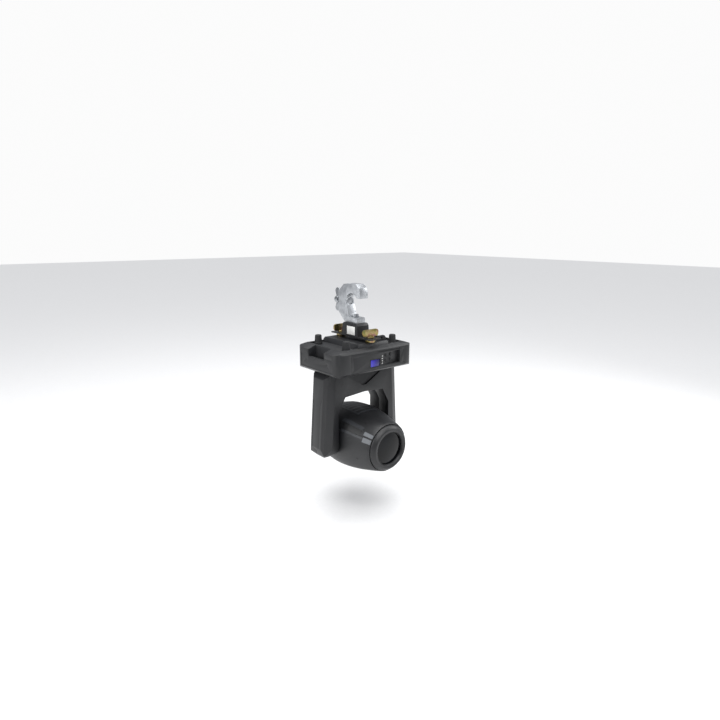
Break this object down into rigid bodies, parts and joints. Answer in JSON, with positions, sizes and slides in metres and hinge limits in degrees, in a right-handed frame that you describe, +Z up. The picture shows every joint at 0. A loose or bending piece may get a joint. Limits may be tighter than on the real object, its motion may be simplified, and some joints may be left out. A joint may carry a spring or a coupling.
{
  "type": "moving head light",
  "caption": "Moving head spotlight hung from a truss clamp: base with display and hand grips, panning yoke and tilting head with a round front lens.",
  "frame": {"origin": "on the axis of the truss tube, in the middle of the hook clamp, directly above the pan axis", "axes": "+X along the truss tube, -Y towards the display and the way the lens points at rest, +Z up"},
  "size_m": [0.297, 0.2813, 0.547],
  "materials": {
    "casing": "fine-textured charcoal moulding",
    "rubber": "matt black",
    "black_steel": "black powder coat",
    "cast_aluminium": "satin cast and machined",
    "steel": "zinc plated",
    "yellow_zinc": "iridescent yellow zinc plating on steel",
    "glass": "clear, coated",
    "screen": "blue back-lit liquid crystal",
    "board": "green solder mask",
    "belt": "black toothed belt",
    "dichroic": "dichroic coated",
    "blue": "satin blue"
  },
  "bodies": {
    "base": {"clamp_hook": "cast_aluminium", "mounting_bolt": "steel", "base_chassis": "steel", "pan_motor": "steel", "power_supply": "steel", "data_input": "steel", "data_output": "steel", "omega_bracket": "black_steel", "safety_eye": "black_steel", "camlock_receptacle_front": "yellow_zinc", "camlock_receptacle_rear": "yellow_zinc", "base_shell": "casing", "base_bottom_plate": "casing", "base_top_plate": "casing", "handle_left": "casing", "handle_right": "casing", "display_panel": "casing", "connector_panel": "casing", "foot_front_left": "rubber", "foot_front_right": "rubber", "foot_rear_left": "rubber", "foot_rear_right": "rubber", "lcd_screen": "screen", "main_board": "board", "pan_belt": "belt", "power_inlet": "blue"},
    "yoke": {"yoke_front_cover": "casing", "yoke_rear_cover": "casing", "arm_side_cover_left": "casing", "arm_side_cover_right": "casing", "yoke_frame": "cast_aluminium", "pan_shaft": "steel", "tilt_motor": "steel", "tilt_belt": "belt"},
    "head": {"head_cover_upper": "casing", "head_cover_lower": "casing", "head_rear_cover": "casing", "front_bezel": "casing", "front_lens": "glass", "head_chassis": "steel", "tilt_shaft_left": "steel", "tilt_shaft_right": "steel", "led_engine": "cast_aluminium", "fan_frame": "rubber"},
    "clamp_pad": {"clamp_pressure_pad": "steel"},
    "wing_bolt": {"clamp_wing_bolt": "steel"},
    "front_lock": {"camlock_front": "yellow_zinc"},
    "rear_lock": {"camlock_rear": "yellow_zinc"},
    "pan_drive": {"pan_drive_pulley": "steel"},
    "tilt_drive": {"tilt_drive_pulley": "steel"},
    "colour_disc": {"colour_wheel": "dichroic"},
    "gobo_disc": {"gobo_wheel": "black_steel"},
    "prism_disc": {"prism": "glass"},
    "focus": {"focus_carriage": "black_steel", "focus_lens": "glass"},
    "fan": {"fan_rotor": "rubber"},
    "button_1": {"menu_button_1": "rubber"},
    "button_2": {"menu_button_2": "rubber"},
    "button_3": {"menu_button_3": "rubber"},
    "button_4": {"menu_button_4": "rubber"}
  },
  "joints": [
    {"name": "pad_slide", "type": "slide", "parent": "base", "child": "clamp_pad", "axis": [0, 1, 0], "range_m": [0, 0.006]},
    {"name": "wing_bolt_turn", "type": "hinge", "parent": "clamp_pad", "child": "wing_bolt", "pos_m": [0, 0.06, 0], "axis": [0, 1, 0], "range_deg": [0, 1234]},
    {"name": "front_lock_turn", "type": "hinge", "parent": "base", "child": "front_lock", "pos_m": [0, -0.066, -0.1], "axis": [0, 0, 1], "range_deg": [0, 90]},
    {"name": "rear_lock_turn", "type": "hinge", "parent": "base", "child": "rear_lock", "pos_m": [0, 0.066, -0.1], "axis": [0, 0, 1], "range_deg": [0, 90]},
    {"name": "button_1_press", "type": "slide", "parent": "base", "child": "button_1", "axis": [-0.1622, 0.9868, 0], "range_m": [0, 0.001], "stiffness_N_per_m": 500},
    {"name": "button_2_press", "type": "slide", "parent": "base", "child": "button_2", "axis": [-0.1622, 0.9868, 0], "range_m": [0, 0.001], "stiffness_N_per_m": 500},
    {"name": "button_3_press", "type": "slide", "parent": "base", "child": "button_3", "axis": [-0.1622, 0.9868, 0], "range_m": [0, 0.001], "stiffness_N_per_m": 500},
    {"name": "button_4_press", "type": "slide", "parent": "base", "child": "button_4", "axis": [-0.1622, 0.9868, 0], "range_m": [0, 0.001], "stiffness_N_per_m": 500},
    {"name": "pan", "type": "hinge", "parent": "base", "child": "yoke", "pos_m": [0, 0, -0.19], "axis": [0, 0, 1], "range_deg": [-270, 270]},
    {"name": "pan_drive_turn", "type": "hinge", "parent": "base", "child": "pan_drive", "pos_m": [-0.076, 0, -0.176], "axis": [0, 0, 1], "range_deg": [-1081, 1081]},
    {"name": "tilt", "type": "hinge", "parent": "yoke", "child": "head", "pos_m": [0, 0, -0.404], "axis": [1, 0, 0], "range_deg": [-40, 220]},
    {"name": "tilt_drive_turn", "type": "hinge", "parent": "yoke", "child": "tilt_drive", "pos_m": [-0.13, 0, -0.292], "axis": [1, 0, 0], "range_deg": [-114, 622]},
    {"name": "colour_disc_turn", "type": "hinge", "parent": "head", "child": "colour_disc", "pos_m": [0, 0.027, -0.37], "axis": [0, 1, 0], "continuous": true},
    {"name": "gobo_disc_turn", "type": "hinge", "parent": "head", "child": "gobo_disc", "pos_m": [0, 0.015, -0.37], "axis": [0, 1, 0], "continuous": true},
    {"name": "prism_turn", "type": "hinge", "parent": "head", "child": "prism_disc", "pos_m": [0, -0.02, -0.404], "axis": [0, 1, 0], "continuous": true},
    {"name": "focus_slide", "type": "slide", "parent": "head", "child": "focus", "axis": [0, -1, 0], "range_m": [0, 0.024]},
    {"name": "fan_turn", "type": "hinge", "parent": "head", "child": "fan", "pos_m": [0, 0.1, -0.404], "axis": [0, 1, 0], "continuous": true}
  ],
  "couplings": [
    {"joint": "pad_slide", "follows": "wing_bolt_turn", "m_per_rad": 0.00027852},
    {"joint": "pan_drive_turn", "follows": "pan", "ratio": 4},
    {"joint": "tilt_drive_turn", "follows": "tilt", "ratio": 2.8235}
  ]
}
